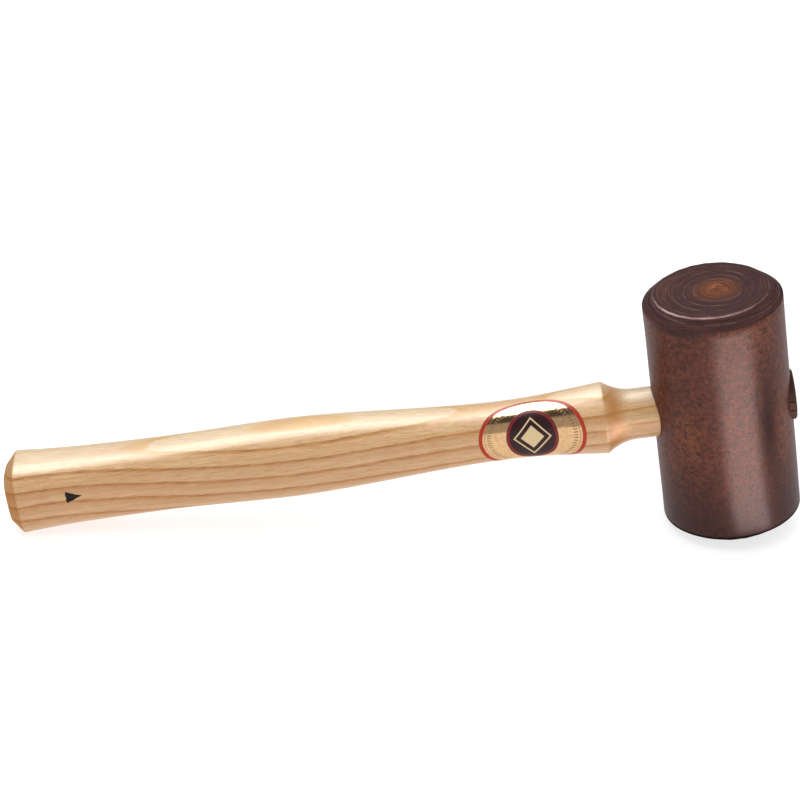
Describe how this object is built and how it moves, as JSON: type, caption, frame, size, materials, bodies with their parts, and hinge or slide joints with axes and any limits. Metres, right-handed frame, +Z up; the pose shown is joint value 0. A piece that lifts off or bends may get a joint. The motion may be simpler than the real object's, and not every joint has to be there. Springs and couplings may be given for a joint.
{
  "type": "rawhide mallet",
  "caption": "Mallet with a chamfered cylindrical head wound from rawhide strip, on a wedged ash handle with a shoulder, slim waist and swelled grip.",
  "frame": {"origin": "middle of the overall box, on the surface that the mallet lies on", "axes": "+X from the butt towards the head, +Y away from the viewer of the picture, +Z up; the mallet leans on the lower edge of its head and the underside of its butt"},
  "size_m": [0.291, 0.05, 0.0975],
  "materials": {
    "dark_hide": "shellacked, half gloss, worn at the edges",
    "core_hide": "shellacked end grain of the hide, satin",
    "ash": "clear lacquer, half gloss",
    "wedge_wood": "stained with the head's shellac",
    "label": "glossy transfer, cream and gold with a red border",
    "ink": "flat stamped ink"
  },
  "bodies": {
    "root": {"hide_roll": "dark_hide", "core_upper": "core_hide", "core_lower": "core_hide", "handle": "ash", "handle_wedge": "wedge_wood"}
  },
  "joints": []
}
